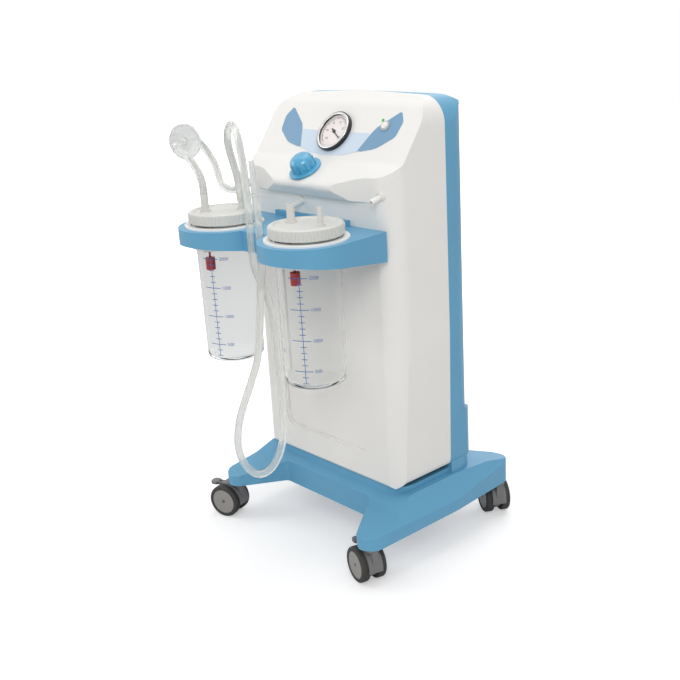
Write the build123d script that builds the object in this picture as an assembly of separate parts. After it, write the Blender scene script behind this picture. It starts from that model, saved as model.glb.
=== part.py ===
"""A trolley vacuum aspirator: a castored base, a moulded housing with a tilted console, a blue
rear cover, a vacuum pump inside, and two graduated jars held in a double ring at the front.

Millimetres, +Z up, the front faces -Y. Shapes are laid out about the trolley's middle plane
(x = 0) and moved at the end, so that the origin is the floor point under the centre of the box
that the standing trolley fills, whose castors rest turned different ways.
"""
from build123d import *
from math import cos, radians, sin, tan
import os

os.makedirs("parts", exist_ok=True)

# Where the centre of the trolley's box lies, from the middle plane and the castor square
BOX_CENTRE_X, BOX_CENTRE_Y = -20, -24

# Body: the front housing and the rear cover share one width and one top
BODY_HALF_WIDTH = 201
BODY_FOOT_HALF_WIDTH = 195
BODY_FRONT_Y = -85
BODY_SEAM_Y = 55
BODY_REAR_Y = 116
BODY_BOTTOM_Z = 149
BODY_TOP_Z = 854
TOP_CORNER_R = 48
FRONT_CORNER_R = 42
REAR_CORNER_R = 52
HOUSING_WALL = 3.5

# Console: a face leaning back, a shelf below it and a lip that overhangs the front
FACE_LEAN = 36
GAUGE_Z = 787
SHELF_SLOPE = 29
FACE_FOOT_Y, FACE_FOOT_Z = -50, 745
LIP_Y, LIP_Z = -116, 708
LIP_BOTTOM_Y, LIP_BOTTOM_Z = -97, 684

# Jars and the double ring that holds them
JAR_X, JAR_Y = 117, -200
JAR_BOTTOM_Z = 384
JAR_R_BOTTOM, JAR_R_TOP = 53.5, 56.3
JAR_RIM_Z = 657
RING_R = 85.5
RING_TOP_Z = 637
COLLAR_TOP_Z = 641
LID_R = 64
LID_TOP_Z = 664
PORT_TOP_Z = 694

# Base and castors
BASE_HALF_WIDTH = 226
BASE_FRONT_Y, BASE_REAR_Y = -192, 216
BASE_UNDER_Z = 76
PLINTH_TOP_Z = 149
CASTOR_X, CASTOR_FRONT_Y, CASTOR_REAR_Y = 203, -168, 188
WHEEL_R = 34
CASTOR_TRAIL = 24

HOSE_OD = 14


def outline(plane, *corners):
    """A closed face on a plane, from (a, b, corner radius) triples."""
    points = [(a, b) for a, b, _ in corners]
    radii = [r for _, _, r in corners]
    return plane * make_face(FilletPolyline(*points, radius=radii, close=True))


def across(face, low, high):
    """A face drawn in the YZ plane, extruded along X from low to high."""
    return extrude(face.moved(Location((low, 0, 0))), high - low, dir=(1, 0, 0))


def along(face, low, high):
    """A face drawn in the XZ plane, extruded along Y from low to high."""
    return extrude(face.moved(Location((0, low, 0))), high - low, dir=(0, 1, 0))


def upward(face, low, high):
    """A face drawn in the XY plane, extruded along Z from low to high."""
    return extrude(face.moved(Location((0, 0, low))), high - low, dir=(0, 0, 1))


def rod(x, y, low, high, radius):
    """An upright cylinder between two heights."""
    return Pos(x, y, low) * Cylinder(radius, high - low, align=(Align.CENTER, Align.CENTER, Align.MIN))


def turned(profile, x, y):
    """A solid of revolution about an upright axis, from (radius, height) points."""
    face = Plane.XZ * make_face(Polyline(*profile, close=True))
    return Pos(x, y, 0) * revolve(face, Axis.Z, 360)


def block(x, y, z):
    """A box from its low and high limits on each axis."""
    size = [high - low for low, high in (x, y, z)]
    return Pos(x[0], y[0], z[0]) * Box(*size, align=(Align.MIN,) * 3)


def save(node, *solids):
    """Write one node in the trolley's own frame."""
    shape = solids[0] if len(solids) == 1 else Compound(children=[s for s in solids])
    export_step(Pos(-BOX_CENTRE_X, -BOX_CENTRE_Y, 0) * shape, f"parts/{node}.step")


# The face of the console, and the frame of the gauge on it
lean = radians(FACE_LEAN)
GAUGE_Y = FACE_FOOT_Y + (GAUGE_Z - FACE_FOOT_Z) * tan(lean)
FACE = Plane(origin=(0, GAUGE_Y, GAUGE_Z), x_dir=(1, 0, 0), z_dir=(0, -cos(lean), sin(lean)))
slope = radians(SHELF_SLOPE)
KNOB_X, KNOB_Y = -15, -83
KNOB_Z = FACE_FOOT_Z + (KNOB_Y - FACE_FOOT_Y) * tan(slope)
SHELF = Plane(origin=(KNOB_X, KNOB_Y, KNOB_Z), x_dir=(1, 0, 0), z_dir=(0, -sin(slope), cos(slope)))


def front_view(inset, bottom):
    """The body seen from the front: tapered foot, rounded shoulders and a crowned top."""
    foot, wide = BODY_FOOT_HALF_WIDTH - inset, BODY_HALF_WIDTH - inset
    top = BODY_TOP_Z - inset
    shoulder = TOP_CORNER_R - inset
    crown = top + 8
    side = [(foot, bottom, 0 if inset else 22), (wide, 420, 0), (wide, top - 6, shoulder)]
    mirror_side = [(-a, b, r) for a, b, r in reversed(side)]
    return outline(Plane.XZ, *side, (0, crown - 6, 900), *mirror_side)


def plan_view(front_radius, rear_radius, front, rear, half_width):
    """The body seen from above."""
    return outline(
        Plane.XY,
        (-half_width, front, front_radius),
        (half_width, front, front_radius),
        (half_width, rear, rear_radius),
        (-half_width, rear, rear_radius),
    )


def housing_form(inset):
    """The front housing as a solid block, with every outer face moved in by inset."""
    face_top_z = 836
    face_top_y = FACE_FOOT_Y + (face_top_z - FACE_FOOT_Z) * tan(lean)
    back = BODY_SEAM_Y + (30 if inset else 0)
    bottom = BODY_BOTTOM_Z - (20 if inset else 0)
    step = inset * 1.2
    side = outline(
        Plane.YZ,
        (back, bottom, 0 if inset else 14),
        (BODY_FRONT_Y + inset, bottom, 8),
        (BODY_FRONT_Y + inset, LIP_BOTTOM_Z + inset - 1, 3),
        (LIP_BOTTOM_Y + inset, LIP_BOTTOM_Z + inset, 3),
        (LIP_Y + step, LIP_Z - inset * 0.4, 12 - inset),
        (FACE_FOOT_Y + inset * 0.4, FACE_FOOT_Z - step, 22),
        (face_top_y + step, face_top_z - inset * 0.6, 26),
        (back, BODY_TOP_Z + 1 - inset, 0),
    )
    width = BODY_HALF_WIDTH + 4 - inset
    plan = outline(
        Plane.XY,
        (-width + 4, BODY_FRONT_Y - 1 + inset, FRONT_CORNER_R - inset),
        (-138, BODY_FRONT_Y - 1 + inset, 100),
        (-66, LIP_Y - 3 + inset, 250),
        (66, LIP_Y - 3 + inset, 250),
        (138, BODY_FRONT_Y - 1 + inset, 100),
        (width - 4, BODY_FRONT_Y - 1 + inset, FRONT_CORNER_R - inset),
        (width - 4, back, 0),
        (-width + 4, back, 0),
    )
    form = across(side, -260, 260) & along(front_view(inset, bottom), -160, 160)
    form = form & upward(plan, 100, 900)
    half = form & block((0, 260), (-160, 100), (100, 900))
    return half + mirror(half, about=Plane.YZ)


# Places on the console, in the frames of its face and its shelf
BUTTON_AT = (121, 18)
LAMP_AT = (109, 29)
GAUGE_CASE_R = 36
BEZEL_R = 39

# Hose spigots on the housing: where each leaves the wall, pointing forward and a little down
SPIGOT_DROP = 16
SPIGOT_ROOTS = {"left": (-176, -72, 697), "middle": (-29, -76, 672), "right": (176, -72, 697)}
SPIGOT_R, SPIGOT_BODY_R, SPIGOT_LENGTH = 5, 8.5, 34


def spigot_plane(root):
    """The frame of a hose spigot, with its Z along the spigot, out of the housing."""
    drop = radians(SPIGOT_DROP)
    return Plane(origin=root, x_dir=(1, 0, 0), z_dir=(0, -cos(drop), -sin(drop)))


def pin(plane, at, low, high, radius):
    """A cylinder on a plane's normal, between two heights over the plane."""
    base = (Align.CENTER, Align.CENTER, Align.MIN)
    return plane * Pos(at[0], at[1], low) * Cylinder(radius, high - low, align=base)


def front_housing():
    """The white moulded shell with its console, its sunk front panel and its openings."""
    outer = housing_form(0)
    panel_half, panel_low, panel_high, panel_deep, panel_corner = 119, 207, 574, 5, 24
    front = BODY_FRONT_Y

    def panel(grow, depth):
        face = outline(
            Plane.XZ,
            (-panel_half - grow, panel_low - grow, panel_corner),
            (panel_half + grow, panel_low - grow, panel_corner),
            (panel_half + grow, panel_high + grow, panel_corner),
            (-panel_half - grow, panel_high + grow, panel_corner),
        )
        return along(face, front - 2, front + depth)

    inner = housing_form(HOUSING_WALL) - panel(4 + HOUSING_WALL, panel_deep + HOUSING_WALL)
    shell = outer - panel(0, panel_deep) - panel(4, 2) - inner
    shell -= pin(FACE, (0, 0), -20, 5, GAUGE_CASE_R + 0.3)
    shell -= pin(FACE, BUTTON_AT, -20, 5, 8.3)
    shell -= pin(FACE, LAMP_AT, -20, 5, 2.5)
    shell -= pin(SHELF, (0, 0), -16, 6, 10)
    for root in SPIGOT_ROOTS.values():
        shell -= pin(spigot_plane(root), (0, 0), -24, 18, SPIGOT_BODY_R + 0.2)
    for x, z in BRACKET_SCREWS:
        shell -= Pos(x, front, z) * Rot(90, 0, 0) * Cylinder(2.6, 30)
    return shell


def rear_form(inset):
    """The rear cover as a solid block: a tall back and a deeper foot, moved in by inset."""
    front = BODY_SEAM_Y - (40 if inset else 0)
    half = BODY_HALF_WIDTH - inset
    tall_side = outline(
        Plane.YZ,
        (front, COVER_BOTTOM_Z + (inset and -20), 0),
        (BODY_REAR_Y - inset, COVER_BOTTOM_Z + (inset and -20), 0),
        (BODY_REAR_Y - inset, 640, 400),
        (BODY_REAR_Y + 7 - inset, 720, 300),
        (BODY_REAR_Y + 4 - inset, BODY_TOP_Z - 26 - inset, 18),
        (BODY_REAR_Y - 26 - inset, BODY_TOP_Z - inset - 6, 20),
        (front, BODY_TOP_Z + 1 - inset, 0),
    )
    foot_side = outline(
        Plane.YZ,
        (front, COVER_BOTTOM_Z + (inset and -20), 0),
        (COVER_FOOT_Y - inset, COVER_BOTTOM_Z + (inset and -20), 0),
        (COVER_FOOT_Y - inset, 222 - inset, 10),
        (BODY_REAR_Y - 4 - inset, 262 - inset, 0),
        (front, 262 - inset, 0),
    )
    tall_plan = plan_view(0, REAR_CORNER_R - inset, front, BODY_REAR_Y + 8 - inset, half)
    foot_plan = plan_view(0, REAR_CORNER_R - inset, front, COVER_FOOT_Y - inset, half)
    face = front_view(inset, COVER_BOTTOM_Z - 40)
    slice_of_front = along(face, -60, 200)
    tall = across(tall_side, -260, 260) & upward(tall_plan, 80, 900)
    foot = across(foot_side, -260, 260) & upward(foot_plan, 80, 400)
    return (tall + foot) & slice_of_front


COVER_BOTTOM_Z = 164
COVER_FOOT_Y = 133
GRIP_HALF, GRIP_LOW, GRIP_HIGH, GRIP_DEEP = 74, 742, 790, 30
INLET_X, INLET_Z = 120, 196
COVER_SCREWS = [(-130, 320), (130, 320), (-130, 600), (130, 600)]
BRACKET_SCREWS = [(-150, 612), (150, 612), (-40, 612), (40, 612)]


def rear_cover():
    """The blue back: a shell with a hand grip, cooling slots and the mains inlet's opening."""
    cover = rear_form(0) - rear_form(HOUSING_WALL)
    back = BODY_REAR_Y + 8
    wall = HOUSING_WALL
    cup = block((-GRIP_HALF - wall, GRIP_HALF + wall), (back - GRIP_DEEP - wall, back - 5),
                (GRIP_LOW - wall, GRIP_HIGH + wall))
    hollow = block((-GRIP_HALF, GRIP_HALF), (back - GRIP_DEEP, back + 10), (GRIP_LOW, GRIP_HIGH))
    cover = cover + cup - hollow
    slot_half, slot_high, slot_pitch, slot_count = 34, 5, 13, 9
    for side in (-1, 1):
        for row in range(slot_count):
            z = 430 + row * slot_pitch
            cover -= block((side * 62 - slot_half, side * 62 + slot_half), (back - 30, back + 5),
                           (z, z + slot_high))
    cover -= block((INLET_X - 14.2, INLET_X + 14.2), (COVER_FOOT_Y - 12, COVER_FOOT_Y + 5),
                   (INLET_Z - 24.2, INLET_Z + 24.2))
    for x, z in COVER_SCREWS:
        cover -= Pos(x, BODY_REAR_Y, z) * Rot(90, 0, 0) * Cylinder(2.2, 40)
    return cover


def base_outline(inset):
    """The base from above: straight flanks, four legs and a gap between each pair of legs."""
    half, front, rear = BASE_HALF_WIDTH - inset, BASE_FRONT_Y + inset, BASE_REAR_Y - inset
    beam, back_beam = -95 + inset, 150 - inset
    flank = [
        (124 + inset * 0.4, beam, 14),
        (178 + inset, front + 10, 10),
        (196, front, 16),
        (half - 2, front + 14, 26),
        (half, 40, 120),
        (half - 12, rear - 14, 26),
        (190, rear, 18),
        (168 + inset, rear - 8, 14),
        (118 + inset * 0.4, back_beam, 20),
    ]
    return outline(Plane.XY, *flank, *[(-x, y, r) for x, y, r in reversed(flank)])


def base_form(inset):
    """The base as a solid block, with every outer face moved in by inset."""
    low = BASE_UNDER_Z - (20 if inset else 0)
    skirt = upward(base_outline(inset), low, 170)
    roof = outline(
        Plane.YZ,
        (-200, low, 0),
        (-200, 94 - inset, 0),
        (-104, 116 - inset, 60),
        (-66, 139 - inset, 30),
        (BODY_SEAM_Y, 139 - inset, 0),
        (150, 134 - inset, 90),
        (225, 119 - inset, 0),
        (225, low, 0),
    )
    flank_half = BASE_HALF_WIDTH + 2 - inset
    flank = outline(
        Plane.XZ,
        (-flank_half, low, 0),
        (flank_half, low, 0),
        (flank_half, 95, 10),
        (196 - inset, 150 - inset, 0),
        (-196 + inset, 150 - inset, 0),
        (-flank_half, 95, 10),
    )
    legs = skirt & across(roof, -260, 260) & along(flank, -260, 260)
    plinth = plan_view(38 - inset, 46 - inset, -77 + inset, 112 - inset, 190 - inset)
    upstand = plan_view(0, REAR_CORNER_R - inset, BODY_SEAM_Y + 1 + inset, COVER_FOOT_Y - inset,
                        BODY_HALF_WIDTH - 4 - inset)
    form = legs + upward(plinth, 120 if inset else 100, PLINTH_TOP_Z - inset)
    return form + upward(upstand, 120 if inset else 100, COVER_BOTTOM_Z - inset)


BASE_WALL = 4
STEM_R, STEM_TOP_Z, SOCKET_R = 5.5, 90, 15
CASTORS = {
    "front_left": (-CASTOR_X, CASTOR_FRONT_Y, 199, True),
    "front_right": (CASTOR_X, CASTOR_FRONT_Y, 165, True),
    "rear_left": (-CASTOR_X, CASTOR_REAR_Y, 170, False),
    "rear_right": (CASTOR_X - 4, CASTOR_REAR_Y, 150, False),
}


def base_frame():
    """The moulded base: hollow from below, with stiffening ribs and a socket for each castor."""
    outer = base_form(0)
    ribs = block((-70, -67), (-90, 140), (BASE_UNDER_Z, 160)) + block((67, 70), (-90, 140),
                                                                      (BASE_UNDER_Z, 160))
    for y in (-40, 30, 95):
        ribs += block((-215, 215), (y, y + 3), (BASE_UNDER_Z + 6, 160))
    for x, y, _, _ in CASTORS.values():
        ribs += rod(x, y, BASE_UNDER_Z, 160, SOCKET_R)
    frame = outer - (base_form(BASE_WALL) - ribs)
    for x, y, _, _ in CASTORS.values():
        frame -= rod(x, y, BASE_UNDER_Z - 1, STEM_TOP_Z + 1, STEM_R + 0.06)
    return frame


# Castors, in their own frame: the stem's axis at 0, the wheels behind it along +X
AXLE_R, TYRE_IN_R, TYRE_HALF_OUT, TYRE_HALF_IN = 4, 26, 25, 8
FENDER_IN_R, FENDER_OUT_R, FENDER_HALF = 35.2, 38, 14
PEDAL_X, PEDAL_Z, PEDAL_PIN_R = 37, 64.5, 2


def at_castor(shape, castor):
    """A castor piece, placed under the base and turned to its rest direction."""
    x, y, turn, _ = castor
    return Pos(x, y, 0) * Rot(0, 0, turn) * shape


def wheel_disc(low, high, radius, hole):
    """A ring on the wheels' axle, between two distances from the castor's middle plane."""
    ring = Cylinder(radius, high - low) - Cylinder(hole, high - low + 2)
    return Pos(CASTOR_TRAIL, (low + high) / 2, WHEEL_R) * Rot(90, 0, 0) * ring


def castor_hood(castor):
    """The grey yoke: stem boss, web between the wheels and a guard over their front."""
    web = Pos(CASTOR_TRAIL, 0, WHEEL_R) * Rot(90, 0, 0) * Cylinder(27, 12)
    web += block((-13, CASTOR_TRAIL), (-6, 6), (30, 71))
    guard_face = Plane.XZ * make_face(
        Polyline((CASTOR_TRAIL, WHEEL_R), (CASTOR_TRAIL + 12, 90), (-60, 90), (-60, 22), close=True)
    )
    ring = wheel_disc(-FENDER_HALF, FENDER_HALF, FENDER_OUT_R, FENDER_IN_R)
    hood = web + (ring & along(guard_face, -30, 30))
    hood += rod(0, 0, 69, BASE_UNDER_Z - 0.6, 13.5) - wheel_disc(-30, 30, FENDER_IN_R, 1)
    hood += rod(0, 0, 69, STEM_TOP_Z, STEM_R)
    hood -= Pos(CASTOR_TRAIL, 0, WHEEL_R) * Rot(90, 0, 0) * Cylinder(AXLE_R + 0.05, 60)
    if castor[3]:
        tongue = block((CASTOR_TRAIL + 4, PEDAL_X + 3.5), (-2.4, 2.4), (50, PEDAL_Z + 3.5))
        hood += tongue
        hood -= block((CASTOR_TRAIL + 4, 70), (2.4, 8), (54, 80))
        hood -= block((CASTOR_TRAIL + 4, 70), (-8, -2.4), (54, 80))
        hood -= Pos(PEDAL_X, 0, PEDAL_Z) * Rot(90, 0, 0) * Cylinder(PEDAL_PIN_R + 0.05, 30)
    return at_castor(hood, castor)


def castor_pedal(castor):
    """The foot brake's pedal: a ribbed tab on two ears about its pin."""
    ears = block((PEDAL_X - 3.5, PEDAL_X + 13), (-5.6, -2.7), (PEDAL_Z - 3.5, PEDAL_Z + 3.5))
    ears += block((PEDAL_X - 3.5, PEDAL_X + 13), (2.7, 5.6), (PEDAL_Z - 3.5, PEDAL_Z + 3.5))
    tab_face = outline(Plane.XY, (PEDAL_X + 11, -10, 3), (PEDAL_X + 28, -10, 7), (PEDAL_X + 28, 10, 7),
                       (PEDAL_X + 11, 10, 3))
    pedal = ears + upward(tab_face, PEDAL_Z - 2.5, PEDAL_Z + 3)
    pedal -= Pos(PEDAL_X, 0, PEDAL_Z) * Rot(90, 0, 0) * Cylinder(PEDAL_PIN_R + 0.05, 30)
    return at_castor(pedal, castor)


def save_castor(name, castor):
    """Write the pieces of one castor."""
    axle = Pos(CASTOR_TRAIL, 0, WHEEL_R) * Rot(90, 0, 0) * Cylinder(AXLE_R, 2 * TYRE_HALF_OUT - 6)
    pins = [at_castor(axle, castor)]
    discs, tyres = [], []
    for low, high in ((-TYRE_HALF_OUT, -TYRE_HALF_IN), (TYRE_HALF_IN, TYRE_HALF_OUT)):
        hub = wheel_disc(low + 1, high - 1, TYRE_IN_R, AXLE_R + 0.05)
        discs.append(at_castor(hub, castor))
        tyre = wheel_disc(low, high, WHEEL_R, TYRE_IN_R)
        rims = tyre.edges().filter_by(GeomType.CIRCLE).group_by(lambda e: e.radius)[-1]
        tyres.append(at_castor(fillet(rims, 4), castor))
    save(f"castor_discs_{name}", *discs)
    save(f"castor_tyres_{name}", *tyres)
    if castor[3]:
        save(f"brake_pedal_{name}", castor_pedal(castor))
        pivot = Pos(PEDAL_X, 0, PEDAL_Z) * Rot(90, 0, 0) * Cylinder(PEDAL_PIN_R, 11)
        pins.append(at_castor(pivot, castor))
    save(f"castor_yoke_{name}", castor_hood(castor), *pins)


def spun(x, y, *corners):
    """A round solid on a vertical axis from (radius, height, corner radius) points."""
    return Pos(x, y, 0) * revolve(outline(Plane.XZ, *corners), Axis.Z)


def on_face(plane, *corners):
    """A round solid about a plane's normal from (radius, height, corner radius) points."""
    return plane * revolve(outline(Plane.XZ, *corners), Axis.Z)


def tube(points, outer, inner):
    """A bent hose through points: straight runs joined by the widest arcs that fit them."""
    runs = [(Vector(b) - Vector(a)).length for a, b in zip(points, points[1:])]
    bends = []
    for index in range(1, len(points) - 1):
        before = Vector(points[index]) - Vector(points[index - 1])
        after = Vector(points[index + 1]) - Vector(points[index])
        half_turn = radians(before.get_angle(after)) / 2
        bends.append(min(2000, 0.45 * min(runs[index - 1], runs[index]) / tan(half_turn)))
    path = FilletPolyline(*points, radius=bends)
    start = Plane(origin=points[0], z_dir=Vector(points[1]) - Vector(points[0]))
    hose = sweep(start * Circle(outer), path=path)
    return hose - sweep(start * Circle(inner), path=path)


def long_tube(points, outer, inner):
    """A long hose as lengths that meet face to face in the middle of a straight run."""
    lengths, current = [], [points[0]]
    for index, point in enumerate(points[1:], 1):
        current.append(point)
        if len(current) > 8 and index < len(points) - 3:
            middle = tuple((Vector(point) + Vector(points[index + 1])) / 2)
            lengths.append(tube(current + [middle], outer, inner))
            current = [middle]
    return lengths + [tube(current, outer, inner)]


# Jar bracket
BRACKET_WALL = 4
GROOVE_R = HOSE_OD / 2 + 0.4
GROOVE_Y = -224
GROOVES_X = (-7, 19)
COLLAR_R = 66


def bracket_plan(inset):
    """The bracket from above: two rings, the cheeks behind them and the bridge between."""
    plan = Sketch()
    for side in (-1, 1):
        plan += Pos(side * JAR_X, JAR_Y) * Circle(RING_R - inset)
    cheeks = outline(Plane.XY, (-202.4 + inset, JAR_Y, 0), (202.4 - inset, JAR_Y, 0),
                     (190 - inset, BODY_FRONT_Y, 0), (-190 + inset, BODY_FRONT_Y, 0))
    bridge = outline(Plane.XY, (-60, -223 + inset, 0), (60, -223 + inset, 0), (60, -100, 0),
                     (-60, -100, 0))
    return plan + cheeks + bridge


def jar_bracket():
    """The blue double ring, hollow from below, with a groove for each leg of the hose."""
    def band(inset):
        drop = 30 if inset else 0
        side = outline(Plane.YZ, (-290, 609 - drop, 0), (BODY_FRONT_Y, 584 - drop, 0),
                       (BODY_FRONT_Y, RING_TOP_Z - inset, 0), (-290, RING_TOP_Z - inset, 0))
        return extrude(Pos(0, 0, 540) * bracket_plan(inset), 110) & across(side, -220, 220)

    pocket = band(BRACKET_WALL) & block((-220, 220), (-290, -91), (540, 700))
    for side in (-1, 1):
        pocket -= rod(side * JAR_X, JAR_Y, 540, 700, COLLAR_R + 4)
    for x in GROOVES_X:
        pocket -= rod(x, GROOVE_Y, 540, 700, GROOVE_R + 3.5)
    shape = band(0) - pocket
    shape += block((-100, 100), (BODY_FRONT_Y - 9, BODY_FRONT_Y), (600, 647))
    for side in (-1, 1):
        shape -= rod(side * JAR_X, JAR_Y, 540, 700, COLLAR_R + 0.2)
    for x in GROOVES_X:
        shape -= rod(x, GROOVE_Y, 540, 700, GROOVE_R)
    for x, z in BRACKET_SCREWS:
        shape -= Pos(x, BODY_FRONT_Y - 1, z) * Rot(90, 0, 0) * Cylinder(2.1, 12)
    return shape


def collar(x):
    """A white sleeve that lines a ring, with the flange that the jar's rim rests on."""
    return spun(x, JAR_Y, (59.5, 600, 0), (COLLAR_R, 600, 0), (COLLAR_R, RING_TOP_Z, 0),
                (73.5, RING_TOP_Z, 0), (73.5, COLLAR_TOP_Z, 1.5), (59.5, COLLAR_TOP_Z, 1))


JAR_WALL, JAR_FLANGE_R, JAR_FLANGE_Z = 2.6, 62, 644


def jar(x):
    """A clear jar: a tapered wall, a thick rounded floor, a flange and a short neck."""
    neck = 57
    low, wall = JAR_BOTTOM_Z, JAR_WALL
    return spun(x, JAR_Y, (0, low, 0), (JAR_R_BOTTOM, low, 11), (JAR_R_TOP, COLLAR_TOP_Z, 0),
                (JAR_FLANGE_R, COLLAR_TOP_Z, 1), (JAR_FLANGE_R, JAR_FLANGE_Z, 1),
                (neck, JAR_FLANGE_Z, 0), (neck, JAR_RIM_Z, 1), (JAR_R_TOP - wall, JAR_RIM_Z, 1),
                (JAR_R_BOTTOM - wall, low + 6, 9), (0, low + 6, 0))


LID_UNDER_Z = JAR_RIM_Z + 1.5
WIDE_PORT_R, NARROW_PORT_R = 7, 5
PORTS = {
    "right": ((84.3, -204.6), (149.7, -195.4)),
    "left": ((-137, -226), (-97, -174)),
}
CAGE_R, CAGE_LENGTH, FLOAT_R = 12, 70, 9.5


def lid(x, side):
    """A lid: a ribbed skirt over the jar's neck and two upright hose ports."""
    inner = 57.5
    shape = spun(x, JAR_Y, (0, LID_UNDER_Z, 0), (inner, LID_UNDER_Z, 0), (inner, JAR_FLANGE_Z + 0.4, 0),
                 (LID_R, JAR_FLANGE_Z + 0.4, 0.8), (LID_R, LID_TOP_Z - 1.5, 0),
                 (LID_R - 2.5, LID_TOP_Z, 0), (LID_R - 9, LID_TOP_Z, 0), (LID_R - 10, LID_TOP_Z - 2, 0),
                 (0, LID_TOP_Z - 2, 0))
    bores = Part()
    for (px, py), wide in zip(PORTS[side], (True, False)):
        radius = WIDE_PORT_R if wide else NARROW_PORT_R
        shape += rod(px, py, LID_TOP_Z - 4, PORT_TOP_Z, radius)
        shape += rod(px, py, LID_TOP_Z - 4, LID_TOP_Z + 2, radius + 3)
        bores += rod(px, py, LID_UNDER_Z - 5, PORT_TOP_Z + 5, radius - 2)
    return shape - bores


def float_cage(place):
    """The slotted cage that hangs from a lid under its wide port and guides the float."""
    x, y = place
    top = LID_UNDER_Z - 0.05
    low = top - CAGE_LENGTH
    cage = rod(x, y, low, top, CAGE_R) - rod(x, y, low + 2, top + 1, CAGE_R - 1.6)
    for turn in (20, 110):
        window = block((-20, 20), (-6, 6), (low + 5, top - 9))
        cage -= Pos(x, y, 0) * Rot(0, 0, turn) * window
    return cage


def overflow_float(place):
    """The float: a capped cylinder that rises with the liquid and shuts the suction."""
    low = LID_UNDER_Z - CAGE_LENGTH + 2.4
    return spun(*place, (0, low, 0), (FLOAT_R, low, 2), (FLOAT_R, low + 26, 2), (5, low + 26, 0),
                (5, low + 30, 0), (0, low + 30, 0))


# Console fittings: the label's outline and the gauge's parts, in the frame of the face
LABEL_THICK = 0.6


def fascia():
    """The printed label on the console, with openings for the gauge, the button and the lamp."""
    zone = outline(Plane.XY, (-94, 2, 3), (-79, -35, 6), (-45, -44, 60), (0, -47, 90), (45, -44, 60),
                   (79, -35, 6), (94, 2, 3))
    right = outline(Plane.XY, (76, -36, 4), (86, -18, 0), (94, 2, 0), (102, 14, 14), (146, 48, 5),
                    (159, 28, 14), (155, -2, 14), (120, -27, 60))
    label = zone + right + mirror(right, about=Plane.YZ)
    label = FACE * extrude(label, LABEL_THICK)
    label -= pin(FACE, (0, 0), -1, 3, BEZEL_R + 0.3)
    label -= pin(FACE, BUTTON_AT, -1, 3, 8.4)
    label -= pin(FACE, LAMP_AT, -1, 3, 2.6)
    return label


DIAL_R, NEEDLE_LENGTH, NEEDLE_REST = 34.3, 24, -33


def gauge_parts():
    """The vacuum gauge's case, bezel, chrome ring, dial, needle and glass."""
    case = on_face(FACE, (0, -32, 0), (GAUGE_CASE_R, -32, 2), (GAUGE_CASE_R, 0, 0), (DIAL_R, 0, 0),
                   (DIAL_R, 1.4, 0), (31, 1.4, 0), (31, -29, 0), (0, -29, 0))
    case += pin(FACE, (0, 0), -30, -2, 9)
    case += pin(FACE, (0, 0), -44, -31, 4.5)
    bezel = on_face(FACE, (DIAL_R + 0.2, 0, 0), (BEZEL_R, 0, 0), (BEZEL_R, 8.2, 2),
                    (GAUGE_CASE_R + 1, 8.2, 0), (GAUGE_CASE_R + 1, 7.4, 0), (DIAL_R + 0.2, 7.4, 0))
    ring = on_face(FACE, (32.8, 7.4, 0), (GAUGE_CASE_R + 0.9, 7.4, 0), (GAUGE_CASE_R + 0.9, 8.9, 1),
                   (32.8, 8.9, 0.6))
    dial = pin(FACE, (0, 0), 1.4, 2.4, DIAL_R) - pin(FACE, (0, 0), 1, 3, 1.5)
    glass = pin(FACE, (0, 0), 5.6, 7.4, DIAL_R)
    pointer = outline(Plane.XY, (-9, -1.6, 0.8), (NEEDLE_LENGTH, -0.5, 0), (NEEDLE_LENGTH, 0.5, 0),
                      (-9, 1.6, 0.8))
    needle = FACE * Rot(0, 0, NEEDLE_REST) * Pos(0, 0, 3.4) * extrude(pointer, 0.6)
    needle += pin(FACE, (0, 0), 3, 4.6, 3.2)
    needle += pin(FACE, (0, 0), -1.9, 3.2, 1.1)
    return {"gauge_case": case, "gauge_bezel": bezel, "gauge_ring": ring, "gauge_dial": dial,
            "gauge_glass": glass, "gauge_needle": needle}


KNOB_R, KNOB_FLANGE_R, KNOB_TOP, KNOB_FLUTES, SPINDLE_R = 23, 31, 31, 11, 4


def regulator_knob():
    """The fluted knob with its flange and the spindle that it turns in the regulator."""
    knob = on_face(SHELF, (0, 0.8, 0), (KNOB_FLANGE_R, 0.8, 0.6), (KNOB_FLANGE_R, 5, 1.5),
                   (KNOB_R + 1, 5.6, 0), (KNOB_R - 1, KNOB_TOP, 16), (0, KNOB_TOP, 0))
    for index in range(KNOB_FLUTES):
        turn = 360 / KNOB_FLUTES * index
        flute = Pos(KNOB_R + 3.2, 0, 6) * Cylinder(5, 22, align=(Align.CENTER, Align.CENTER, Align.MIN))
        knob -= SHELF * Rot(0, 0, turn) * flute
    return knob + pin(SHELF, (0, 0), -22, 6, SPINDLE_R)


def regulator_valve():
    """The regulator's body under the shelf, with its thread through the shelf and two stubs."""
    valve = pin(SHELF, (0, 0), -40, -5.5, 15) + pin(SHELF, (0, 0), -6, 0.4, 9.6)
    valve += SHELF * Pos(0, 22, -32) * Rot(-90, 0, 0) * Cylinder(4, 24)
    valve += SHELF * Pos(-22, 0, -24) * Rot(0, 90, 0) * Cylinder(4, 24)
    return valve - pin(SHELF, (0, 0), -30, 1, SPINDLE_R + 0.06)


def console_controls():
    """The power button in its switch, and the lamp beside it."""
    switch = pin(FACE, BUTTON_AT, -26, 0.8, 8) + pin(FACE, BUTTON_AT, LABEL_THICK + 0.1, 2.6, 9.6)
    switch -= pin(FACE, BUTTON_AT, -12, 4, 6.7)
    button = pin(FACE, BUTTON_AT, -8, 5, 6.6)
    button = fillet(button.edges().group_by(lambda e: FACE.to_local_coords(e.center()).Z)[-1], 1.2)
    lamp = pin(FACE, LAMP_AT, -9, 1.6, 2.4)
    return {"power_switch": switch, "power_button": button, "power_lamp": lamp}


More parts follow.
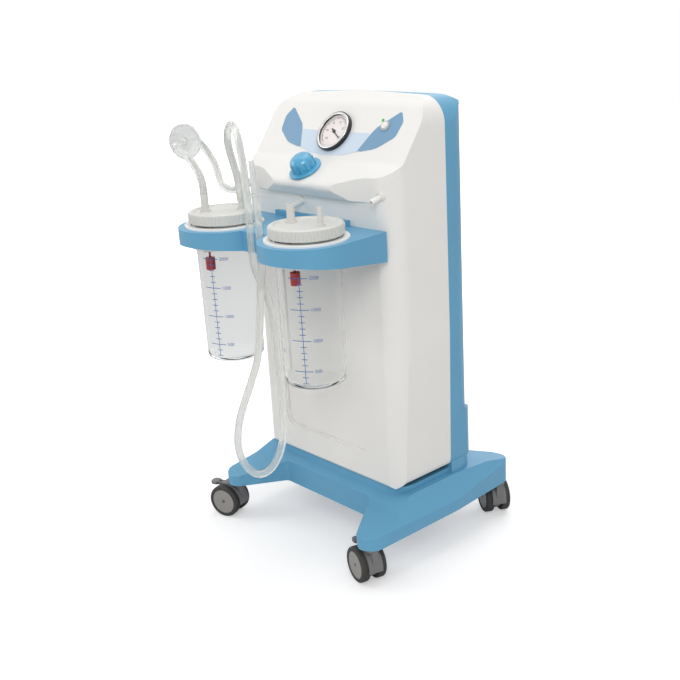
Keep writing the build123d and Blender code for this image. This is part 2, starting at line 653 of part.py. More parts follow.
def spigot(root):
    """A hose spigot: a body through the wall, a collar on it and a plain stub."""
    plane = spigot_plane(root)
    root_depth = 8 if abs(root[0]) < 100 else 22
    shape = pin(plane, (0, 0), -root_depth, 12, SPIGOT_BODY_R)
    shape += pin(plane, (0, 0), 12, SPIGOT_LENGTH, SPIGOT_R)
    return shape - pin(plane, (0, 0), -23, SPIGOT_LENGTH + 1, 3)


# The pump, on a plate over four rubber mounts
PUMP_Y, MOTOR_Z, MOTOR_R, SHAFT_R = -4, 214, 38, 4
PLATE_LOW_Z, PLATE_THICK = 161, 3
MOUNTS = [(-78, -46), (78, -46), (-78, 38), (78, 38)]


def pump_parts():
    """The twin-head pump: plate, mounts, motor, crankcases, heads, and the shaft's fan."""
    plate_top = PLATE_LOW_Z + PLATE_THICK
    plate = block((-92, 92), (-58, 50), (PLATE_LOW_Z, plate_top))
    for x, y in MOUNTS:
        plate -= rod(x, y, PLATE_LOW_Z - 1, plate_top + 1, 3)
    mounts = [rod(x, y, PLINTH_TOP_Z, PLATE_LOW_Z, 9) + rod(x, y, PLATE_LOW_Z, plate_top + 3, 3)
              for x, y in MOUNTS]

    def along_x(low, high, radius, z=MOTOR_Z):
        return Pos((low + high) / 2, PUMP_Y, z) * Rot(0, 90, 0) * Cylinder(radius, high - low)

    motor = along_x(-32, 32, MOTOR_R) + block((-24, 24), (PUMP_Y - 30, PUMP_Y + 30), (plate_top, 196))
    motor -= along_x(-40, 40, SHAFT_R + 1)
    cases, heads = [], []
    for low, high in ((-66, -32), (32, 66)):
        case = block((low, high), (PUMP_Y - 28, PUMP_Y + 28), (plate_top, 246))
        cases.append(case - along_x(low - 1, high + 1, SHAFT_R + 1))
        middle = (low + high) / 2
        head = rod(middle, PUMP_Y, 246, 272, 13)
        for fin in range(4):
            z = 250 + fin * 6
            head += rod(middle, PUMP_Y, z, z + 2, 16.8)
        head += block((middle - 22, middle + 22), (PUMP_Y - 24, PUMP_Y + 24), (272, 286))
        heads.append(head + rod(middle, PUMP_Y - 12, 286, 300, 4))
    shaft = along_x(-64, 84, SHAFT_R)
    fan = along_x(72, 82, 12)
    for index in range(7):
        blade = Pos(77, 0, 0) * Rot(0, 0, 28) * Box(1.6, 12, 23)
        fan += Pos(0, PUMP_Y, MOTOR_Z) * Rot(360 / 7 * index, 0, 0) * Pos(0, 0, 22) * blade
    fan -= along_x(60, 90, SHAFT_R)
    return {"pump_plate": [plate], "pump_mounts": mounts, "pump_motor": [motor],
            "pump_crankcases": cases, "pump_heads": heads, "cooling_fan": [shaft, fan]}


def inside_parts():
    """The capacitor, the control board on its posts, and the exhaust silencer."""
    capacitor = rod(-128, 20, PLINTH_TOP_Z, 222, 18) + rod(-128, 20, 222, 232, 5)
    wall = BODY_FRONT_Y + 5 + HOUSING_WALL
    board = block((-60, 60), (wall + 14, wall + 15.6), (400, 500))
    posts = []
    for x, z in ((-54, 406), (54, 406), (-54, 494), (54, 494)):
        posts.append(Pos(x, wall + 7, z) * Rot(90, 0, 0) * Cylinder(3.5, 14))
    board += block((-40, -8), (wall + 15, wall + 40), (420, 460))
    board += block((6, 22), (wall + 15, wall + 28), (430, 470))
    silencer = rod(130, 20, PLINTH_TOP_Z, 236, 20) + rod(130, 20, 236, 248, 4)
    return {"run_capacitor": [capacitor], "control_board": [board, *posts],
            "exhaust_silencer": [silencer]}


def mains_inlet():
    """The mains inlet at the back, with its socket, its three pins and the fuse drawer's bay."""
    y = COVER_FOOT_Y
    body = block((INLET_X - 14, INLET_X + 14), (y - 30, y), (INLET_Z - 24, INLET_Z + 24))
    body += block((INLET_X - 18, INLET_X + 18), (y, y + 2.5), (INLET_Z - 30, INLET_Z + 30))
    body -= block((INLET_X - 12, INLET_X + 12), (y - 17, y + 4), (INLET_Z - 4, INLET_Z + 12.5))
    body -= block((INLET_X - 11, INLET_X + 11), (y - 26, y + 4), (INLET_Z - 20, INLET_Z - 9))
    for x, z in ((-7, 2), (0, 6.5), (7, 2)):
        centre_x, centre_z = INLET_X + x, INLET_Z + z
        body += block((centre_x - 1, centre_x + 1), (y - 18, y - 2), (centre_z - 2, centre_z + 2))
    for dz in (-26.8, 26.8):
        body -= Pos(INLET_X, y, INLET_Z + dz) * Rot(90, 0, 0) * Cylinder(1.5, 8)
    return body


def fuse_drawer():
    """The fuse drawer that slides out of the mains inlet."""
    y = COVER_FOOT_Y
    drawer = block((INLET_X - 10.9, INLET_X + 10.9), (y - 24, y + 4), (INLET_Z - 19.9, INLET_Z - 9.1))
    return drawer - block((INLET_X - 8, INLET_X + 8), (y - 21, y - 2), (INLET_Z - 17, INLET_Z - 9))


def screws():
    """The groups of like screws, by node name."""
    def screw(place, shank, length, head, tall):
        turned_out = place * Pos(0, 0, tall / 2) * Cylinder(head, tall)
        drive = place * Pos(0, 0, tall) * Box(head, 1, 1.6) + place * Pos(0, 0, tall) * Box(1, head, 1.6)
        return turned_out + place * Pos(0, 0, -length / 2) * Cylinder(shank, length) - drive

    cover = [screw(Pos(x, BODY_REAR_Y, z) * Rot(-90, 0, 0), 2.15, 22, 4.2, 2.4) for x, z in COVER_SCREWS]
    bracket = [screw(Pos(x, BODY_FRONT_Y + HOUSING_WALL, z) * Rot(-90, 0, 0), 2.05, 9, 4.2, 2.4)
               for x, z in BRACKET_SCREWS]
    inlet = [screw(Pos(INLET_X, COVER_FOOT_Y + 2.5, INLET_Z + dz) * Rot(-90, 0, 0), 1.5, 2.4, 2.4, 1.2)
             for dz in (-26.8, 26.8)]
    return {"cover_screws": cover, "bracket_screws": bracket, "inlet_screws": inlet}


# The filter stands between its two hoses, a thin disc on an axis that slopes across the corner
FILTER_AT = (-241, -187, 778)
FILTER_AXIS = (0.5, -0.866, 0)
FILTER = Plane(origin=FILTER_AT, x_dir=(0.866, 0.5, 0), z_dir=FILTER_AXIS)


def filter_body():
    """The filter: two dished halves welded at a rim, with a stub on each side."""
    shape = on_face(FILTER, (0, -7, 0), (18, -7, 3), (30, -2.5, 3), (33, -2.5, 0.8),
                    (33, 2.5, 0.8), (30, 2.5, 3), (18, 7, 3), (0, 7, 0))
    shape += pin(FILTER, (0, 0), 6, 16, HOSE_OD / 2) + pin(FILTER, (0, 0), -16, -6, HOSE_OD / 2)
    return shape


HOSE_IN_R = 5
HOSE_TO_FILTER = [
    (-137, -226, 694), (-137, -226, 712), (-146, -227, 733), (-164, -228, 752), (-187, -231, 768),
    (-215, -232, 778), (-233, -200.86, 778),
]
HOSE_TO_HOUSING = [
    (-249, -173.14, 778), (-262, -150.63, 778), (-269, -131, 765), (-262, -121, 745),
    (-246, -121, 727), (-224, -130, 710), (-205.2, -140.5, 695), (-187.2, -140.5, 686.4),
    (-176, -127.75, 681.01), (-176, -85.46, 693.14),
]
PATIENT_HOSE = [
    (-97, -174, 676), (-97, -174, 712), (-101, -182, 750), (-99, -191, 785), (-84, -198, 812),
    (-60, -204, 820), (-36, -212, 800), (-17, -220, 755), (-8, -224, 700), (-7, -224, 664),
    (-7, -224, 572), (-1, -209, 538), (1, -197, 491), (-2, -192, 430), (0, -190, 370),
    (5, -193, 310), (12, -200, 262), (13, -210, 225), (2, -224, 190), (-22, -233, 170),
    (-50, -236, 166), (-76, -239, 183), (-86, -240, 215), (-80, -237, 260), (-64, -231, 305),
    (-42, -225, 352), (-22, -220, 400), (-8, -222, 450), (4, -225, 500), (15, -227, 548),
    (19, -224, 574), (19, -224, 664), (16, -224, 704),
]


def cone(end, before):
    """The conical fitting pushed into the patient hose's free end."""
    axis = Vector(end) - Vector(before)
    plane = Plane(origin=end, z_dir=axis)
    shape = on_face(plane, (3, 0, 0), (9, 0, 0.8), (9, 4, 0.8), (6.5, 4, 0), (4.6, 60, 0), (3, 60, 0))
    return shape


pieces = {
    "front_housing": [front_housing()],
    "rear_cover": [rear_cover()],
    "base_frame": [base_frame()],
    "jar_bracket": [jar_bracket()],
    "fascia_panel": [fascia()],
    "regulator_knob": [regulator_knob()],
    "regulator_valve": [regulator_valve()],
    "mains_inlet": [mains_inlet()],
    "fuse_drawer": [fuse_drawer()],
    "filter_body": [filter_body()],
    "hose_to_filter": [tube(HOSE_TO_FILTER, HOSE_OD / 2, HOSE_IN_R)],
    "hose_to_housing": [tube(HOSE_TO_HOUSING, HOSE_OD / 2, HOSE_IN_R)],
    "patient_hose": long_tube(PATIENT_HOSE, HOSE_OD / 2, HOSE_IN_R),
    "conical_fitting": [cone(PATIENT_HOSE[-1], PATIENT_HOSE[-2])],
    **{name: [shape] for name, shape in (gauge_parts() | console_controls()).items()},
    "hose_spigots": [spigot(root) for root in SPIGOT_ROOTS.values()],
    **pump_parts(),
    **inside_parts(),
    **screws(),
}
for side, jar_x in (("left", -JAR_X), ("right", JAR_X)):
    pieces[f"collar_{side}"] = [collar(jar_x)]
    pieces[f"jar_{side}"] = [jar(jar_x)]
    pieces[f"lid_{side}"] = [lid(jar_x, side), float_cage(PORTS[side][0])]
    pieces[f"float_{side}"] = [overflow_float(PORTS[side][0])]
for node, solids in pieces.items():
    save(node, *solids)
for name, castor in CASTORS.items():
    save_castor(name, castor)
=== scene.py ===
"""Materials, small relief, hoses, light and camera for the trolley aspirator."""
import bpy
import bmesh
import math
from mathutils import Matrix, Vector


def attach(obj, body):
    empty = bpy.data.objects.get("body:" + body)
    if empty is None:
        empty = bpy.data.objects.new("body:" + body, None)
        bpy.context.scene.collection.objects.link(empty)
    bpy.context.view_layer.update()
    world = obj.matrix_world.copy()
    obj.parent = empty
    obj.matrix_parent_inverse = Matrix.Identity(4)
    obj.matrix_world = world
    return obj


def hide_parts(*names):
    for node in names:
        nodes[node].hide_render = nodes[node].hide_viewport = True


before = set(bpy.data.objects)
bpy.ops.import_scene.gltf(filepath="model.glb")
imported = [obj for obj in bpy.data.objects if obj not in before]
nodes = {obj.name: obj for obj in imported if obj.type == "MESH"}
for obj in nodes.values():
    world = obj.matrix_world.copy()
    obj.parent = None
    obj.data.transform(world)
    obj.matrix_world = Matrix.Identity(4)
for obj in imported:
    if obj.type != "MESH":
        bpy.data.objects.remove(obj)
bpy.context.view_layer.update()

# The row's origin is the centre of the trolley's box. The trolley's own middle plane lies off it,
# because the castors rest turned, so places on the trolley are given from here.
MIDDLE = Vector((0.020, 0.024, 0))


def at(x, y, z):
    """A place on the trolley, in millimetres from its middle plane, in the row's frame."""
    return Vector((x, y, z)) / 1000 + MIDDLE


# View: the photograph looks down on the right front corner of the trolley from 2.1 m away, with
# the horizon a little tilted. The angles and the lens come from its outlines.
turn, dip, roll, focal = math.radians(49.02), math.radians(17.93), -0.0597, 53.48
ahead = Vector((-math.sin(turn) * math.cos(dip), math.cos(turn) * math.cos(dip), -math.sin(dip)))
level = Vector((math.cos(turn), math.sin(turn), 0))
over = level.cross(ahead)
across = level * math.cos(roll) + over * math.sin(roll)
upright = over * math.cos(roll) - level * math.sin(roll)
camera = bpy.data.objects.new("camera", bpy.data.cameras.new("camera"))
camera.data.lens = focal
camera.data.sensor_width = 36
axes = Matrix((across, upright, -ahead)).transposed().to_4x4()
camera.matrix_world = Matrix.Translation(at(1401, -1255.2, 993.6)) @ axes
bpy.context.collection.objects.link(camera)
bpy.context.scene.camera = camera
bpy.context.scene.view_settings.view_transform = "Standard"


# Floor and light: a plain white sweep under the trolley, and broad soft lamps in front of it,
# above it and behind it. What the camera sees past the floor is plain white.
FLOOR_GREY, FLOOR_GLOW_NEAR, FLOOR_GLOW_FAR = 0.82, 0.36, 1.0
WORLD_ON_OBJECT, WORLD_SEEN = 0.46, 1


def link(tree, source, output, target, socket):
    """Join two nodes of a material."""
    tree.links.new(source.outputs[output], target.inputs[socket])


bpy.ops.mesh.primitive_plane_add(size=14)
floor = bpy.context.object
floor.name = "floor"
floor_look = bpy.data.materials.new("floor")
floor_look.use_nodes = True
tree = floor_look.node_tree
body = tree.nodes["Principled BSDF"]
body.inputs["Base Color"].default_value = (FLOOR_GREY, FLOOR_GREY, FLOOR_GREY, 1)
body.inputs["Roughness"].default_value = 0.9
rays = tree.nodes.new("ShaderNodeLightPath")
where = tree.nodes.new("ShaderNodeTexCoord")
reach = tree.nodes.new("ShaderNodeVectorMath")
reach.operation = "LENGTH"
link(tree, where, "Object", reach, "Vector")
fade = tree.nodes.new("ShaderNodeMapRange")
fade.inputs["From Min"].default_value = 0.45
fade.inputs["From Max"].default_value = 1.9
fade.inputs["To Min"].default_value = FLOOR_GLOW_NEAR
fade.inputs["To Max"].default_value = FLOOR_GLOW_FAR
link(tree, reach, "Value", fade, "Value")
glow = tree.nodes.new("ShaderNodeMath")
glow.operation = "MULTIPLY"
link(tree, rays, "Is Camera Ray", glow, 0)
link(tree, fade, "Result", glow, 1)
body.inputs["Emission Color"].default_value = (1, 1, 1, 1)
link(tree, glow, "Value", body, "Emission Strength")
floor.data.materials.append(floor_look)

world = bpy.data.worlds.new("world")
bpy.context.scene.world = world
world.use_nodes = True
tree = world.node_tree
sky = tree.nodes["Background"]
sky.inputs["Color"].default_value = (1, 1, 1, 1)
rays = tree.nodes.new("ShaderNodeLightPath")
seen = tree.nodes.new("ShaderNodeMath")
seen.operation = "MAXIMUM"
mirrored = tree.nodes.new("ShaderNodeMath")
mirrored.operation = "MAXIMUM"
strength = tree.nodes.new("ShaderNodeMapRange")
strength.inputs["To Min"].default_value = WORLD_ON_OBJECT
strength.inputs["To Max"].default_value = WORLD_SEEN
link(tree, rays, "Is Camera Ray", seen, 0)
link(tree, rays, "Is Transmission Ray", seen, 1)
link(tree, seen, "Value", mirrored, 0)
link(tree, rays, "Is Glossy Ray", mirrored, 1)
link(tree, mirrored, "Value", strength, "Value")
link(tree, strength, "Result", sky, "Strength")


def lamp(name, place, target, power, width):
    """A square area lamp that points at a place."""
    light = bpy.data.lights.new(name, "AREA")
    light.energy = power
    light.size = width
    made = bpy.data.objects.new(name, light)
    made.location = place
    made.rotation_euler = (Vector(target) - Vector(place)).to_track_quat("-Z", "Y").to_euler()
    bpy.context.collection.objects.link(made)


lamp("key", (2.2, -2.0, 2.4), (0, 0, 0.45), 39, 1.6)
lamp("fill", (-2.4, -1.8, 1.6), (0, 0, 0.45), 20, 1.8)
lamp("top", (0, 0.3, 2.9), (0, 0, 0.4), 22, 2.0)
lamp("rear", (-0.8, 2.6, 1.8), (0, 0, 0.5), 18, 1.8)

# Hoses: clear PVC tube of 14 mm. One short length goes from the left lid to the filter and the
# next from the filter to the housing. The long one hangs in a loop from the bracket's grooves.
HOSE_R = 0.007


def colour(red, green, blue):
    """A colour read as display values from 0 to 255, as Blender's linear values."""
    def linear(value):
        value /= 255
        return value / 12.92 if value <= 0.04045 else ((value + 0.055) / 1.055) ** 2.4
    return (linear(red), linear(green), linear(blue), 1)


def surface(name, shade, rough, grain=900.0, relief=0.04, drift=0.04, **sockets):
    """A material with fine moulded grain, a slow drift of its shade and uneven gloss."""
    made = bpy.data.materials.new(name)
    made.use_nodes = True
    tree = made.node_tree
    body = tree.nodes["Principled BSDF"]
    where = tree.nodes.new("ShaderNodeTexCoord")
    fine = tree.nodes.new("ShaderNodeTexNoise")
    fine.inputs["Scale"].default_value = grain
    fine.inputs["Detail"].default_value = 3
    slow = tree.nodes.new("ShaderNodeTexNoise")
    slow.inputs["Scale"].default_value = 6
    link(tree, where, "Object", fine, "Vector")
    link(tree, where, "Object", slow, "Vector")
    bump = tree.nodes.new("ShaderNodeBump")
    bump.inputs["Strength"].default_value = relief
    bump.inputs["Distance"].default_value = 0.0004
    link(tree, fine, "Fac", bump, "Height")
    link(tree, bump, "Normal", body, "Normal")
    ramp = tree.nodes.new("ShaderNodeValToRGB")
    for stop, lift in zip(ramp.color_ramp.elements, (1 - drift, 1 + drift)):
        stop.color = (*(min(1, part * lift) for part in shade[:3]), 1)
    ramp.color_ramp.elements[0].position = 0.3
    ramp.color_ramp.elements[1].position = 0.7
    link(tree, slow, "Fac", ramp, "Fac")
    link(tree, ramp, "Color", body, "Base Color")
    spread = tree.nodes.new("ShaderNodeMapRange")
    spread.inputs["To Min"].default_value = rough * 0.88
    spread.inputs["To Max"].default_value = rough * 1.12
    link(tree, slow, "Fac", spread, "Value")
    link(tree, spread, "Result", body, "Roughness")
    for socket, value in sockets.items():
        body.inputs[socket.replace("_", " ")].default_value = value
    return made


hose_look = surface("hose_pvc", colour(246, 247, 244), 0.16, 260, 0.03, 0.02, Transmission_Weight=0.72,
                    IOR=1.12, Subsurface_Weight=0.15, Subsurface_Radius=(0.004, 0.004, 0.004))


def hose(name, node, points):
    """A hose along a smooth line that its route's points steer."""
    curve = bpy.data.curves.new(name, "CURVE")
    curve.dimensions = "3D"
    curve.bevel_depth = HOSE_R
    curve.bevel_resolution = 5
    curve.resolution_u = 10
    curve.use_fill_caps = True
    line = curve.splines.new("NURBS")
    line.points.add(len(points) - 1)
    for point, place in zip(line.points, points):
        point.co = (*at(*place), 1)
    line.order_u = 3
    line.use_endpoint_u = True
    made = bpy.data.objects.new(name, curve)
    curve.materials.append(hose_look)
    bpy.context.collection.objects.link(made)
    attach(made, "trolley")
    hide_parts(node)
    return made


hose("lid_hose", "hose_to_filter", [
    (-137, -226, 694), (-137, -226, 712), (-146, -227, 733), (-164, -228, 752), (-187, -231, 768),
    (-215, -232, 778), (-233, -200.86, 778),
])
hose("housing_hose", "hose_to_housing", [
    (-249, -173.14, 778), (-262, -150.63, 778), (-269, -131, 765), (-262, -121, 745),
    (-246, -121, 727), (-224, -130, 710), (-205.2, -140.5, 695), (-187.2, -140.5, 686.4),
    (-176, -127.75, 681.01), (-176, -85.46, 693.14),
])
hose("patient_line", "patient_hose", [
    (-97, -174, 676), (-97, -174, 712), (-101, -182, 750), (-99, -191, 785), (-84, -198, 812),
    (-60, -204, 820), (-36, -212, 800), (-17, -220, 755), (-8, -224, 700), (-7, -224, 664),
    (-7, -224, 572), (-1, -209, 538), (1, -197, 491), (-2, -192, 430), (0, -190, 370),
    (5, -193, 310), (12, -200, 262), (13, -210, 225), (2, -224, 190), (-22, -233, 170),
    (-50, -236, 166), (-76, -239, 183), (-86, -240, 215), (-80, -237, 260), (-64, -231, 305),
    (-42, -225, 352), (-22, -220, 400), (-8, -222, 450), (4, -225, 500), (15, -227, 548),
    (19, -224, 574), (19, -224, 664), (16, -224, 704),
])

# Mouldings: the housing is white ABS, the cover, the base and the bracket are blue ABS, all with
# the faint grain of a spark-eroded mould. The lids are a warmer, denser grey-white.
def dress(material, *names):
    """Give CAD pieces a material."""
    for name in names:
        slots = nodes[name].data.materials
        for index in range(len(slots)):
            slots[index] = material


white_look = surface("white_abs", colour(238, 236, 232), 0.42, 1400, 0.05, 0.015)
blue_look = surface("blue_abs", colour(98, 164, 200), 0.40, 1400, 0.06, 0.03)
lid_look = surface("lid_plastic", colour(218, 217, 212), 0.38, 1100, 0.05, 0.02)
dress(white_look, "front_housing", "hose_spigots", "power_button")
dress(blue_look, "rear_cover", "base_frame", "jar_bracket")
dress(lid_look, "lid_left", "lid_right")
collar_look = surface("collar_white", colour(240, 240, 238), 0.35, 1000, 0.03, 0.01)
dress(collar_look, "collar_left", "collar_right")

# Jars: injection-moulded clear polycarbonate, held by the rim in white collars in the bracket's
# rings. A graduated scale and its millilitres are printed on the outside in blue.
jar_look = surface("jar_clear", (0.97, 0.975, 0.975, 1), 0.03, 30, 0.01, 0.005, Transmission_Weight=1.0,
                   IOR=1.16)
dress(jar_look, "jar_left", "jar_right")
float_look = surface("float_red", colour(168, 38, 36), 0.35)
dress(float_look, "float_left", "float_right")
ink_look = surface("scale_ink", colour(32, 98, 165), 0.5, 500, 0.02, 0.02)
JAR_X, JAR_Y, JAR_LOW, JAR_TOP = 117, -200, 384, 641
JAR_LOW_R, JAR_TOP_R = 53.5, 56.3
SCALE_FIRST_Z, SCALE_PITCH, SCALE_PARTS = 419.8, 54.4, 5
INK_LIFT, INK_HALF = 0.12, 0.6
NUMBER_OFFSET = 22


def piece(name, mesh_or_bmesh, material, body):
    """Put a new piece in the scene, on a body of the trolley."""
    if isinstance(mesh_or_bmesh, bmesh.types.BMesh):
        mesh = bpy.data.meshes.new(name)
        mesh_or_bmesh.normal_update()
        mesh_or_bmesh.to_mesh(mesh)
        mesh_or_bmesh.free()
    else:
        mesh = mesh_or_bmesh
    made = bpy.data.objects.new(name, mesh)
    mesh.materials.append(material)
    bpy.context.collection.objects.link(made)
    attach(made, body)
    return made


def on_jar(x, azimuth, offset, z, lift):
    """A place on a jar's skin: offset runs sideways along it, in millimetres."""
    radius = JAR_LOW_R + (JAR_TOP_R - JAR_LOW_R) * (z - JAR_LOW) / (JAR_TOP - JAR_LOW) + lift
    angle = math.radians(azimuth) + offset / radius
    return at(x + radius * math.cos(angle), JAR_Y + radius * math.sin(angle), z)


def stroke(shape, x, azimuth, left, right, low, high):
    """A printed stroke that follows the jar's skin."""
    steps = max(1, round((right - left) / 2))
    for index in range(steps):
        first = left + (right - left) * index / steps
        last = left + (right - left) * (index + 1) / steps
        corners = [(first, low), (last, low), (last, high), (first, high)]
        shape.faces.new([shape.verts.new(on_jar(x, azimuth, a, z, INK_LIFT)) for a, z in corners])


def number(name, value, height, align, thick, stand):
    """A printed number as a mesh, set in its place."""
    digits = bpy.data.curves.new(name, "FONT")
    digits.body = str(value)
    digits.size = height
    digits.align_x = align
    digits.align_y = "CENTER"
    digits.extrude = thick
    holder = bpy.data.objects.new("holder", digits)
    flat = bpy.data.meshes.new_from_object(holder)
    flat.transform(stand)
    bpy.data.objects.remove(holder)
    return flat


def scale(side, x, azimuth, body):
    """The printed scale of one jar: a stem, long and short strokes, and the litres' numbers."""
    ink = bmesh.new()
    step = SCALE_PITCH / SCALE_PARTS
    stem_low, stem_high = SCALE_FIRST_Z - 2 * step, SCALE_FIRST_Z + 3 * SCALE_PITCH + 2
    stroke(ink, x, azimuth, -INK_HALF, INK_HALF, stem_low, stem_high)
    for index in range(-2, 16):
        z = SCALE_FIRST_Z + index * step
        left, right = (-20, 14) if index % SCALE_PARTS == 0 else (-5.5, 5.5)
        stroke(ink, x, azimuth, left, right, z - INK_HALF, z + INK_HALF)
    bmesh.ops.remove_doubles(ink, verts=ink.verts, dist=1e-6)
    piece(f"scale_{side}", ink, ink_look, body)
    for index in range(4):
        z = SCALE_FIRST_Z + index * SCALE_PITCH
        place = on_jar(x, azimuth, NUMBER_OFFSET, z, 0.2)
        facing = math.radians(azimuth) + NUMBER_OFFSET / JAR_TOP_R
        turned = Matrix.Rotation(facing + math.pi / 2, 4, "Z") @ Matrix.Rotation(math.pi / 2, 4, "X")
        shift = Matrix.Translation((-0.0055, 0, 0))
        stand = Matrix.Translation(place) @ turned @ shift
        digits = number(f"scale_number_{side}_{index}", 500 * (index + 1), 0.0085, "LEFT", 0.00005, stand)
        piece(f"scale_number_{side}_{index}", digits, ink_look, body)


scale("right", JAR_X, -58.3, "jar_body_right")
scale("left", -JAR_X, -68.9, "trolley")


# Floats: each overflow float is a red plastic cylinder in a cage under the lid. Its foot hangs on
# a stem through the cage's floor, where it shows under the ring.
def float_foot(side, x, y):
    """The stem and the rounded foot under one float."""
    shape = bmesh.new()
    top, foot_top, foot_low = 592, 576, 553
    for radius, low, high in ((2, foot_top, top), (9, foot_low, foot_top)):
        made = bmesh.ops.create_cone(shape, cap_ends=True, segments=48, radius1=radius / 1000,
                                     radius2=radius / 1000, depth=(high - low) / 1000)
        bmesh.ops.translate(shape, verts=made["verts"], vec=at(x, y, (low + high) / 2))
    rims = [edge for edge in shape.edges if edge.calc_face_angle(0) > 1]
    bmesh.ops.bevel(shape, geom=rims, offset=0.0008, segments=2, profile=0.5, affect="EDGES", material=-1)
    for face in shape.faces:
        face.smooth = len(face.verts) == 4
    piece(f"float_foot_{side}", shape, float_look, f"float_body_{side}")


float_foot("right", 84.3, -204.6)
float_foot("left", -137, -226)


# Lid skirts: each lid is a grey-white moulding that is screwed onto its jar, with a ring of
# upright grip ribs round its skirt, moulded with it.
def lid_ribs(side, x, body):
    """The grip ribs around one lid."""
    ribs = bmesh.new()
    count, radius, width, depth = 64, 64.2, 2.6, 2.4
    low, high = 646, 661
    for index in range(count):
        angle = 2 * math.pi * index / count
        made = bmesh.ops.create_cube(ribs, size=1)
        for vert in made["verts"]:
            taper = 0.6 if vert.co.x > 0 else 1
            local = Vector((radius + vert.co.x * depth, vert.co.y * width * taper, 0))
            z = high if vert.co.z > 0 else low
            spin = Matrix.Rotation(angle, 3, "Z") @ local
            vert.co = at(x + spin.x, JAR_Y + spin.y, z)
    bmesh.ops.bevel(ribs, geom=ribs.edges[:], offset=0.0003, segments=1, affect="EDGES")
    piece(f"lid_ribs_{side}", ribs, lid_look, body)


lid_ribs("right", JAR_X, "lid_body_right")
lid_ribs("left", -JAR_X, "trolley")

# Console: a printed film in two blues, a glossy blue knob and a black vacuum gauge with a chrome
# ring. The gauge's dial is enamelled white with a printed black scale.
lean = math.radians(36)
FACE = Matrix(((1, 0, 0), (0, math.sin(lean), -math.cos(lean)), (0, math.cos(lean), math.sin(lean))))
GAUGE = (0, -50 + 42 * math.tan(lean), 787)


def on_face(x, s, lift):
    """A place on the console's face: x across, s up the face, from the gauge's centre."""
    offset = FACE @ Vector((x, s, lift))
    return at(GAUGE[0] + offset.x, GAUGE[1] + offset.y, GAUGE[2] + offset.z)


# The film's dark wings start past this distance from the middle, and draw back down the face
WING_START, WING_SLANT = 0.09305, 0.474
film_look = surface("label_film", colour(118, 158, 190), 0.3, 700, 0.02, 0.02)
tree = film_look.node_tree
where = tree.nodes.new("ShaderNodeTexCoord")
parts = tree.nodes.new("ShaderNodeSeparateXYZ")
link(tree, where, "Object", parts, "Vector")
sideways = tree.nodes.new("ShaderNodeMath")
sideways.operation = "SUBTRACT"
sideways.inputs[1].default_value = MIDDLE.x
link(tree, parts, "X", sideways, 0)
distance = tree.nodes.new("ShaderNodeMath")
distance.operation = "ABSOLUTE"
link(tree, sideways, "Value", distance, 0)
slanted = tree.nodes.new("ShaderNodeMath")
slanted.operation = "MULTIPLY_ADD"
slanted.inputs[1].default_value = -WING_SLANT / math.cos(lean)
slanted.inputs[2].default_value = GAUGE[2] / 1000 * WING_SLANT / math.cos(lean)
link(tree, parts, "Z", slanted, 0)
edge = tree.nodes.new("ShaderNodeMath")
edge.operation = "ADD"
link(tree, distance, "Value", edge, 0)
link(tree, slanted, "Value", edge, 1)
wing = tree.nodes.new("ShaderNodeMath")
wing.operation = "GREATER_THAN"
wing.inputs[1].default_value = WING_START
link(tree, edge, "Value", wing, 0)
choose = tree.nodes.new("ShaderNodeMix")
choose.data_type = "RGBA"
choose.inputs["A"].default_value = colour(206, 220, 234)
link(tree, wing, "Value", choose, "Factor")
ramp = next(node for node in tree.nodes if node.type == "VALTORGB")
link(tree, ramp, "Color", choose, "B")
link(tree, choose, "Result", tree.nodes["Principled BSDF"], "Base Color")
dress(film_look, "fascia_panel")

knob_look = surface("knob_blue", colour(78, 166, 206), 0.16, 300, 0.01, 0.02, Coat_Weight=0.4)
dress(knob_look, "regulator_knob")
black_look = surface("black_abs", colour(28, 28, 30), 0.32, 900, 0.04, 0.05)
dress(black_look, "gauge_case", "gauge_bezel", "mains_inlet", "fuse_drawer", "exhaust_silencer")
dress(surface("chrome", colour(225, 225, 225), 0.08, 200, 0.0, 0.01, Metallic=1.0), "gauge_ring")
dress(surface("dial_white", colour(236, 228, 226), 0.5, 500, 0.02, 0.01), "gauge_dial")
dress(surface("needle_black", colour(25, 22, 22), 0.4, 500, 0.02, 0.02), "gauge_needle")
dress(surface("gauge_glass", (1, 1, 1, 1), 0.02, 50, 0.0, 0.0, Transmission_Weight=1.0, IOR=1.2),
      "gauge_glass")
dial_ink = surface("dial_ink", colour(60, 48, 50), 0.5, 500, 0.02, 0.02)
NUMBERS_R, STROKE_END_R = 19.5, 28.5


def dial_print():
    """The dial's arc, strokes and numbers, in degrees from the rest at the lower right."""
    ink = bmesh.new()
    start, sweep, lift = -33, 260, 2.55

    def quad(inner, outer, first, last):
        corners = [(inner, first), (outer, first), (outer, last), (inner, last)]
        places = [on_face(r * math.cos(a), r * math.sin(a), lift) for r, a in corners]
        ink.faces.new([ink.verts.new(place) for place in places])

    for index in range(51):
        angle = math.radians(start + sweep * index / 50)
        inner = 24.5 if index % 5 == 0 else 26.5
        half = (0.35 if index % 5 == 0 else 0.18) / 26
        quad(inner, STROKE_END_R, angle - half, angle + half)
    for index in range(100):
        first = math.radians(start + sweep * index / 100)
        quad(28.4, 28.9, first, first + math.radians(sweep / 100))
    piece("dial_print", ink, dial_ink, "trolley")
    for index in range(6):
        angle = math.radians(start + sweep * index / 5)
        place = on_face(NUMBERS_R * math.cos(angle), NUMBERS_R * math.sin(angle), lift)
        stand = Matrix.Translation(place) @ FACE.to_4x4()
        digits = number(f"dial_number_{index}", 20 * index, 0.0058, "CENTER", 0, stand)
        piece(f"dial_number_{index}", digits, dial_ink, "trolley")


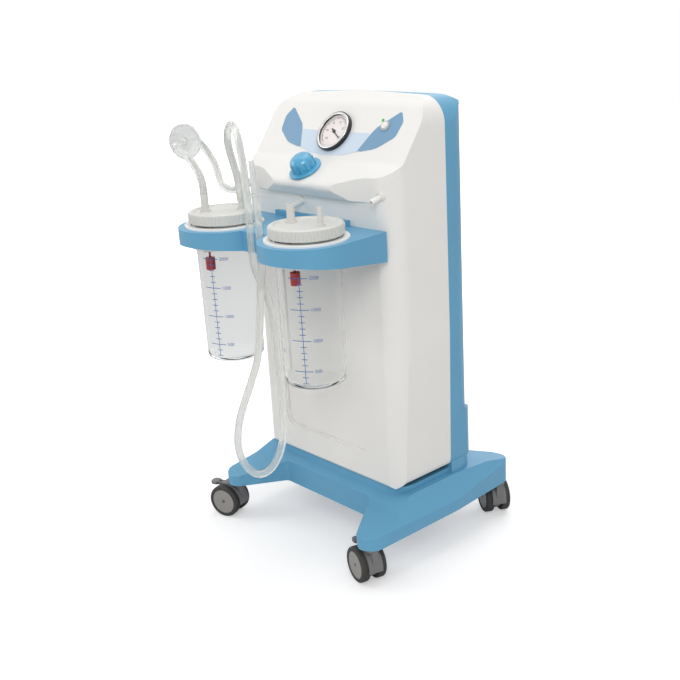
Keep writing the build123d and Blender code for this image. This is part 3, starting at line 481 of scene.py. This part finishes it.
dial_print()
lamp_look = surface("lamp_green", colour(60, 190, 90), 0.2, 200, 0.0, 0.02)
dress(lamp_look, "power_lamp")
dress(surface("switch_grey", colour(190, 192, 194), 0.35), "power_switch")

# Filter and cone: the round filter keeps liquid out of the pump. It is two dished halves of clear
# white styrene, welded at the rim, and hangs on its two hoses. The cone, of the same plastic, is
# pushed into the free end of the long hose.
styrene_look = surface("filter_styrene", colour(246, 247, 246), 0.25, 300, 0.02, 0.01,
                       Transmission_Weight=0.55, IOR=1.2)
dress(styrene_look, "filter_body", "conical_fitting")

# Castors: twin wheels on a grey nylon yoke, whose steel stem is pushed up into a leg. The discs
# are mid-grey nylon with dark rubber tyres, and the two front yokes carry a brake pedal.
yoke_look = surface("castor_nylon", colour(118, 117, 118), 0.42, 900, 0.05, 0.03)
disc_look = surface("disc_nylon", colour(150, 147, 143), 0.4, 900, 0.05, 0.03)
tyre_look = surface("tyre_rubber", colour(56, 55, 54), 0.7, 600, 0.12, 0.06)
for name in nodes:
    if name.startswith("castor_yoke") or name.startswith("brake_pedal"):
        dress(yoke_look, name)
    if name.startswith("castor_discs"):
        dress(disc_look, name)
    if name.startswith("castor_tyres"):
        dress(tyre_look, name)

# Inside and behind: a cast aluminium pump with a black motor stands on rubber mounts and a zinc-
# plated plate. The regulator under the shelf is brass, the board is green, and zinc-plated
# screws hold the cover, the bracket and the inlet.
dress(surface("zinc", colour(178, 178, 180), 0.3, 1200, 0.05, 0.05, Metallic=1.0), "cover_screws",
      "bracket_screws", "inlet_screws", "pump_plate")
dress(surface("cast_aluminium", colour(190, 190, 188), 0.45, 700, 0.15, 0.05, Metallic=1.0),
      "pump_crankcases", "pump_heads")
dress(surface("motor_paint", colour(50, 50, 54), 0.4, 500, 0.05, 0.05), "pump_motor")
dress(surface("mount_rubber", colour(35, 35, 35), 0.75, 500, 0.1, 0.05), "pump_mounts")
dress(surface("board_green", colour(30, 100, 60), 0.4, 300, 0.05, 0.1), "control_board")
dress(surface("brass", colour(200, 165, 95), 0.3, 900, 0.04, 0.04, Metallic=1.0), "regulator_valve")
dress(surface("fan_nylon", colour(225, 225, 222), 0.45), "cooling_fan", "run_capacitor")
